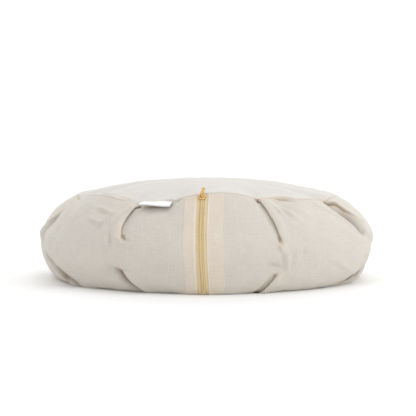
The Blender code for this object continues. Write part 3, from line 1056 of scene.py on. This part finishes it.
cover = new_piece("cover", cloth_grid(), cotton())
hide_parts("top_panel", "side_band", "bottom_panel")
print("cover:", len(cover.data.vertices), "vertices")

# %% [markdown]
# ## The zip
# A coil zip is two woven tapes, each with a spiral of nylon thread sewn along its inner edge, and the two
# spirals mesh into each other. Each spiral here is one curve with a round bevel, its turns worked out by a
# loop and carried down the band's face. A line of stitches holds each to its tape.

# %% Places on the zip
ZIP_START, ZIP_END = 2.2, BAND_WIDTH - 20.0
ZIP_LONG = ZIP_END - ZIP_START


def lift_at_zip(row, down):
    """How far the open cloth of one row swells where the zip crosses it."""
    return float(row["lift"][np.argmin(np.abs(apart(row["bearing"], zip_bearing(down))))])


BELLY = [lift_at_zip(row, down) for row, down in zip(cloth, ROWS)]
print("zip:", round(ZIP_LONG, 1), "mm long, on cloth that swells", round(max(BELLY), 1), "mm")


def on_zip(across, down, lift):
    """The point this far to the right of the zip's middle, down the band and off its face; all in mm."""
    centre = zip_bearing(down)
    face = turned(centre + math.degrees(across / row_radius(down)), down)
    waves = float(uneven(turned(centre, down))) * calm(down)
    lift = lift - CHANNEL_DEPTH + waves + float(np.interp(down, ROWS, BELLY))
    place = face + outward(centre, down) * lift
    place[2] = max(place[2], FLOOR_GAP + 0.3)
    return Vector(place) * MM


# %% The tapes
TAPE_LIFT, TAPE_THICK = 0.85, 0.35
TAPE_INNER, TAPE_EDGE, TAPE_OUTER = 2.2, 5.2, 13.2  # its edges, and where it goes under the cloth
TAPE_UNDER = 1.1  # how much deeper the part lies that is sewn under the doubled cloth


def tape_on_zip(name, left, right, material):
    """A strip of tape down the zip, as a thin closed solid with its UV map in metres."""
    mesh = bmesh.new()
    bmesh.ops.create_grid(mesh, x_segments=12, y_segments=90, size=0.5)
    uv_layer = mesh.loops.layers.uv.new("cloth")
    for vertex in mesh.verts:
        vertex.co.x = left + (right - left) * (vertex.co.x + 0.5)
        vertex.co.y = ZIP_LONG * (vertex.co.y + 0.5)
    for face in mesh.faces:
        for loop in face.loops:
            loop[uv_layer].uv = loop.vert.co.xy * MM
    for vertex in mesh.verts:
        across, down, _ = vertex.co
        under = float(ease(abs(across), TAPE_EDGE - 0.4, TAPE_EDGE + 1.4))
        vertex.co = on_zip(across, ZIP_START + down, TAPE_LIFT - TAPE_UNDER * under)
    mesh.normal_update()
    if mesh.faces[:][0].normal.y > 0:
        bmesh.ops.reverse_faces(mesh, faces=mesh.faces)
    bmesh.ops.solidify(mesh, geom=mesh.faces[:], thickness=TAPE_THICK * MM)
    bmesh.ops.recalc_face_normals(mesh, faces=mesh.faces)
    return new_piece(name, mesh, material)


RIB = 0.0009  # from one rib of the twill to the next


def woven_tape(name, colour):
    """Twill tape: fine diagonal ribs with a firmer edge."""
    finish = Finish(name, Roughness=0.8)
    uv = finish.uv()
    rib = ((uv.part(0) + uv.part(1)) * (2 * math.pi / RIB)).sine()
    fuzz = uv.noise(1500)
    finish.paint(Base_Color=finish.colour(*colour).times(1 + rib * 0.05 + fuzz * 0.2))
    finish.relief(0.5 + rib * 0.3 + fuzz * 0.4, 0.00015)
    return finish.material


tape_cloth = woven_tape("zip_tape", (0.80, 0.64, 0.38))
for word, left, right in (("left", -TAPE_OUTER, -TAPE_INNER), ("right", TAPE_INNER, TAPE_OUTER)):
    tape = tape_on_zip(f"tape_{word}", left, right, tape_cloth)
    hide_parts(f"zip_tape_{word}")
print("tapes cut:", round(TAPE_OUTER - TAPE_INNER, 1), "x", round(ZIP_LONG, 1), "mm")

# %% The meshed coils
COIL_PITCH, COIL_WIRE = 1.15, 0.30
COIL_START = ZIP_START + 4
COIL_MIDDLE = -0.4  # off the zip's middle
COIL_REACH = (-0.25, 2.5)  # from the coils' middle to a turn's far side
COIL_RISE, COIL_LIFT = 0.48, 1.1
STITCH_THICK, STITCH_PLACE, STITCH_RISE = 0.14, 1.25, 0.1


def line_on_zip(name, points, thickness, material):
    """A tube through points of the zip (across, down, lift), as a mesh."""
    curve = bpy.data.curves.new(name, "CURVE")
    curve.dimensions = "3D"
    curve.bevel_depth = thickness * MM
    curve.bevel_resolution = 1
    curve.use_fill_caps = True
    line = curve.splines.new("POLY")
    line.points.add(len(points) - 1)
    for point, place in zip(line.points, points):
        point.co = (*on_zip(*place), 1)
    tube = bpy.data.objects.new(name, curve)
    scene.collection.objects.link(tube)
    bpy.context.view_layer.update()
    data = bpy.data.meshes.new_from_object(tube.evaluated_get(bpy.context.evaluated_depsgraph_get()))
    bpy.data.objects.remove(tube)
    mesh = bmesh.new()
    mesh.from_mesh(data)
    bmesh.ops.remove_doubles(mesh, verts=mesh.verts, dist=0.001 * MM)
    bmesh.ops.recalc_face_normals(mesh, faces=mesh.faces)
    return new_piece(name, mesh, material)


# %% Nylon and thread
def nylon():
    finish = Finish("zip_coil_nylon", Roughness=0.42)
    fleck = finish.place.noise(900)
    colour = finish.colour(0.98, 0.82, 0.51).times(1 + fleck * 0.25)
    finish.paint(Base_Color=colour, Roughness=0.42 + fleck * 0.2)
    return finish.material


def thread():
    finish = Finish("zip_stitching", Roughness=0.7)
    fuzz = finish.place.noise(2000, 1.0)
    finish.paint(Base_Color=finish.colour(0.46, 0.30, 0.13).times(1 + fuzz * 0.3))
    return finish.material


# %% Turning the coils
def coil_points(side, turns, steps=10):
    """One coil's centre line. The right one starts half a turn later, so that their turns mesh."""
    near, far = COIL_REACH
    points = []
    for step in range(turns * steps + 1):
        angle = 2 * math.pi * step / steps + (math.pi if side > 0 else 0)
        across = COIL_MIDDLE + side * ((near + far) / 2 + (far - near) / 2 * math.cos(angle))
        rise = COIL_LIFT + COIL_RISE * math.sin(angle)
        points.append((across, COIL_START + COIL_PITCH * step / steps, rise))
    return points


def stitch_points(side, turns, steps=4):
    """The stitches along one coil: a line that dips between the turns."""
    level = COIL_LIFT + COIL_RISE + STITCH_THICK
    points = []
    for step in range(turns * steps + 1):
        rise = level + STITCH_RISE * math.sin(step * math.pi / 2)
        down = COIL_START + COIL_PITCH * step / steps
        points.append((COIL_MIDDLE + side * STITCH_PLACE, down, rise))
    return points


nylon_finish, thread_finish = nylon(), thread()
turns = int((ZIP_LONG - 5) / COIL_PITCH)
for word, side in (("left", -1), ("right", 1)):
    coil = line_on_zip(f"coil_{word}", coil_points(side, turns), COIL_WIRE, nylon_finish)
    points = stitch_points(side, turns)
    stitches = line_on_zip(f"coil_stitches_{word}", points, STITCH_THICK, thread_finish)
    for piece in (coil, stitches):
        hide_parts("zip_coil")
print("coil turns on each side:", turns)

# %% [markdown]
# ## Slider and pull
# The slider is a cast brass plate, broad at its shoulders, with a bail bridging its top. A grid gives the
# plate, its rows are drawn in to the outline, and a thickness and two subdivisions round it off. The bail
# is a small ring section spun through half a turn. The pull is a flat tongue with an eye round the bail
# and a small hole in its tip; it has been flipped up and lies back over the seam.

# %% Brass
def brass():
    finish = Finish("zip_brass", Metallic=1.0)
    tarnish = finish.place.noise(450, 3.0)
    scratches = finish.place.stretch(4000, 4000, 500).noise(1.0, 1.0)
    worn = finish.colour(0.80, 0.56, 0.24).tint((0.36, 0.22, 0.09), (0.25 + tarnish * 1.1).clip())
    finish.paint(Base_Color=worn, Roughness=0.34 + scratches * 0.25 + tarnish * 0.15)
    finish.relief(0.5 + scratches * 0.5, 0.00003)
    return finish.material


brass_finish = brass()

# %% Seats and plates
SLIDER_DOWN, SLIDER_LIFT = 5.6, 2.6  # where its middle is, down the zip and off it
SLIDER_LONG, SLIDER_WIDE, SLIDER_THICK = 9.0, 8.4, 2.0


def seat_at(place, right, up):
    """The matrix that puts a flat piece at a place, with its own right and up."""
    seat = Matrix((right, up, right.cross(up))).transposed().to_4x4()
    seat.translation = place
    return seat


def slider_seat():
    """The slider's seat: right, up the zip and outward from its place."""
    reach = 3.5
    top = on_zip(COIL_MIDDLE, SLIDER_DOWN - reach, SLIDER_LIFT)
    bottom = on_zip(COIL_MIDDLE, SLIDER_DOWN + reach, SLIDER_LIFT)
    up = (top - bottom).normalized()
    right = up.cross(Vector(outward(zip_bearing(SLIDER_DOWN), SLIDER_DOWN))).normalized()
    return seat_at((top + bottom) / 2, right, up)


def rounded(piece):
    """Two subdivisions, which round off a plate's edges."""
    modifier = piece.modifiers.new("rounding", "SUBSURF")
    modifier.levels = modifier.render_levels = 2
    return piece


def cut_plate(steps, outline, thickness, holes=()):
    """A plate from a grid: its rows scaled to the outline's half widths, without the cells in holes."""
    mesh = bmesh.new()
    bmesh.ops.create_grid(mesh, x_segments=steps[0], y_segments=steps[1], size=0.5)
    for left, right, low, high in holes:
        middles = {face: face.calc_center_median() for face in mesh.faces}
        gone = [face for face, at in middles.items() if left < at.x < right and low < at.y < high]
        bmesh.ops.delete(mesh, geom=gone, context="FACES")
    places, heights, halves = zip(*outline)
    for vertex in mesh.verts:
        place = vertex.co.y + 0.5
        half = float(np.interp(place, places, halves))
        vertex.co = Vector((vertex.co.x * 2 * half, float(np.interp(place, places, heights)), 0)) * MM
    bmesh.ops.solidify(mesh, geom=mesh.faces[:], thickness=thickness * MM)
    bmesh.ops.recalc_face_normals(mesh, faces=mesh.faces)
    return mesh


# %% The slider
half = SLIDER_WIDE / 2
MOUTH = 1.2  # how far the plate's lower end is drawn in over the closed coils
SLIDER_OUTLINE = (  # share of the length, height up the zip, half width
    (0.0, -SLIDER_LONG / 2, 0.60 * half),
    (0.125, -0.46 * SLIDER_LONG, 0.68 * half),
    (0.375, -0.2 * SLIDER_LONG, 0.80 * half),
    (0.625, 0.15 * SLIDER_LONG, half),
    (0.875, 0.40 * SLIDER_LONG, 0.86 * half),
    (1.0, SLIDER_LONG / 2, 0.5 * half),
)
slider_mesh = cut_plate((4, 8), SLIDER_OUTLINE, SLIDER_THICK)
for vertex in slider_mesh.verts:
    vertex.co.z += 0.35 * MM * math.cos(vertex.co.x / (half * MM) * math.pi / 2)
mouth = [face for face in slider_mesh.faces if face.normal.y < -0.9]
bmesh.ops.inset_region(slider_mesh, faces=mouth, thickness=0.35 * MM, depth=0)
inner = list({vertex for face in mouth for vertex in face.verts})
bmesh.ops.translate(slider_mesh, verts=inner, vec=(0, MOUTH * MM, 0))
seat = slider_seat()
bmesh.ops.transform(slider_mesh, matrix=seat, verts=slider_mesh.verts)
slider = rounded(new_piece("slider", slider_mesh, brass_finish))
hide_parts("zip_slider")

# %% The bail
BAIL_RADIUS, BAIL_THICK = 1.9, 0.5
bail_mesh = bmesh.new()
ring = bmesh.ops.create_circle(bail_mesh, segments=10, radius=BAIL_THICK * MM)["verts"]
bmesh.ops.scale(bail_mesh, verts=ring, vec=(1.5, 0.8, 1))
bmesh.ops.translate(bail_mesh, verts=ring, vec=(0, BAIL_RADIUS * MM, 0))
half_turn = {"cent": (0, 0, 0), "axis": (1, 0, 0), "angle": math.pi, "steps": 14, "use_merge": False}
bmesh.ops.spin(bail_mesh, geom=bail_mesh.edges[:], **half_turn)
bmesh.ops.scale(bail_mesh, verts=bail_mesh.verts, vec=(1, 1.15, 0.85))
bmesh.ops.holes_fill(bail_mesh, edges=[edge for edge in bail_mesh.edges if edge.is_boundary])
bmesh.ops.recalc_face_normals(bail_mesh, faces=bail_mesh.faces)
bail_seat = seat @ Matrix.Translation((0, 0.2 * MM, (SLIDER_THICK / 2 - 0.6) * MM))
bmesh.ops.transform(bail_mesh, matrix=bail_seat, verts=bail_mesh.verts)
bail = new_piece("slider_bail", bail_mesh, brass_finish)
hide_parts("zip_slider")

# %% The pull
PULL_LONG, PULL_THICK = 13.5, 0.9
PULL_OUTLINE = (
    (0.0, -1.2, 2.0),
    (0.08, -0.7, 2.6),
    (0.25, 2.4, 2.8),
    (0.45, 5.5, 2.2),
    (0.7, PULL_LONG - 4.2, 1.9),
    (0.82, PULL_LONG - 2.6, 2.2),
    (0.94, PULL_LONG - 0.7, 2.0),
    (1.0, PULL_LONG, 1.2),
)
# The holes as shares of the plate: left, right, low and high
EYE, TIP_HOLE = (-0.26, 0.26, -0.42, -0.22), (-0.26, 0.26, 0.3, 0.38)
pull_mesh = cut_plate((4, 16), PULL_OUTLINE, PULL_THICK, holes=(EYE, TIP_HOLE))
along = Vector((0.15, 0.85, 0.5)).normalized()
sideways = along.cross(Vector((0, 0, 1))).normalized()
pull_seat = seat_at(seat @ Vector((0, 0.9 * MM, 2.1 * MM)), sideways, along)
bmesh.ops.transform(pull_mesh, matrix=pull_seat, verts=pull_mesh.verts)
pull = rounded(new_piece("pull_tab", pull_mesh, brass_finish))
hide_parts("zip_pull")
print("pull tip at", [round(x / MM, 1) for x in pull_seat @ Vector((0, PULL_LONG * MM, 0))])

# %% [markdown]
# ## The sewn label
# A folded strip of white satin ribbon is caught in the top seam, beside the left front pleat. It is left
# blank. A grid is bent along the ribbon's fold, laid out from the seam and given the ribbon's thickness.

# %% Label
LABEL_START, LABEL_END = -26.2, -13.8  # bearings of its two ends
LABEL_LONG, LABEL_THICK = 36.0, 0.22
LABEL_REACH, LABEL_ROOT, LABEL_LOOP = 13.0, 2.5, 0.5  # out of the seam, into it, half the loop's height
LABEL_LEVEL = 89.4  # height of its upper side where it leaves the seam
LABEL_FLAT = 2 * (LABEL_REACH + LABEL_ROOT) + math.pi * LABEL_LOOP


def satin():
    finish = Finish("label_satin", Roughness=0.42)
    finish.shader.inputs["Sheen Weight"].default_value = 0.3
    uv = finish.uv()
    rib = (uv.part(1) * (2 * math.pi / 0.0005)).sine()
    fuzz = uv.noise(900)
    share = uv.part(0) * (1 / (LABEL_LONG * MM))
    edge = share.step(0.03, 0.0) + share.step(0.97, 1.0)
    shade = 1 + rib * 0.03 + fuzz * 0.06 - edge * 0.08
    finish.paint(Base_Color=finish.colour(0.87, 0.88, 0.90).times(shade))
    finish.relief(0.5 + rib * 0.3 + fuzz * 0.3, 0.00006)
    return finish.material


def along_ribbon(length):
    """(reach out of the seam, height) of a point this far along the folded ribbon."""
    straight = LABEL_REACH + LABEL_ROOT
    if length < straight:
        return length - LABEL_ROOT, LABEL_LOOP
    angle = (length - straight) / LABEL_LOOP
    if angle < math.pi:
        return LABEL_REACH + LABEL_LOOP * math.sin(angle), LABEL_LOOP * math.cos(angle)
    return LABEL_REACH - (length - straight - math.pi * LABEL_LOOP), -LABEL_LOOP


# %% Folding the ribbon
LABEL_DROP = (1.9, 2.6)  # how far its free edge hangs at each end
LABEL_CLEAR = 0.2  # how far it lies off the cloth


def on_ribbon(share, length):
    """The place of a point this share along the seam and this length along the folded ribbon."""
    reach, height = along_ribbon(length)
    bearing = LABEL_START + (LABEL_END - LABEL_START) * share
    out = max(reach, 0) / LABEL_REACH
    root = min(float(seam_height(bearing)) - 0.2, LABEL_LEVEL)
    drop = LABEL_DROP[0] + (LABEL_DROP[1] - LABEL_DROP[0]) * share
    level = root + (LABEL_LEVEL - root) * float(ease(out, 0, 0.3)) - drop * out**1.6
    wave = 0.3 * out * math.sin(5.0 * share + 0.6)
    turn = math.radians(bearing)
    radius = SEAM_RADIUS + 3 * LABEL_CLEAR + reach
    height = level + height + wave + LABEL_CLEAR
    return Vector((radius * math.sin(turn), -radius * math.cos(turn), height)) * MM


label_mesh = bmesh.new()
bmesh.ops.create_grid(label_mesh, x_segments=26, y_segments=48, size=0.5)
uv_layer = label_mesh.loops.layers.uv.new("cloth")
for face in label_mesh.faces:
    for loop in face.loops:
        share, length = loop.vert.co.x + 0.5, loop.vert.co.y + 0.5
        loop[uv_layer].uv = (LABEL_LONG * MM * share, LABEL_FLAT * MM * length)
for vertex in label_mesh.verts:
    vertex.co = on_ribbon(vertex.co.x + 0.5, (vertex.co.y + 0.5) * LABEL_FLAT)
label_mesh.normal_update()
bmesh.ops.solidify(label_mesh, geom=label_mesh.faces[:], thickness=LABEL_THICK * MM)
bmesh.ops.recalc_face_normals(label_mesh, faces=label_mesh.faces)
label = new_piece("label", label_mesh, satin())
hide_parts("care_label")
print("label ribbon cut:", LABEL_LONG, "x", round(LABEL_FLAT, 1), "mm")
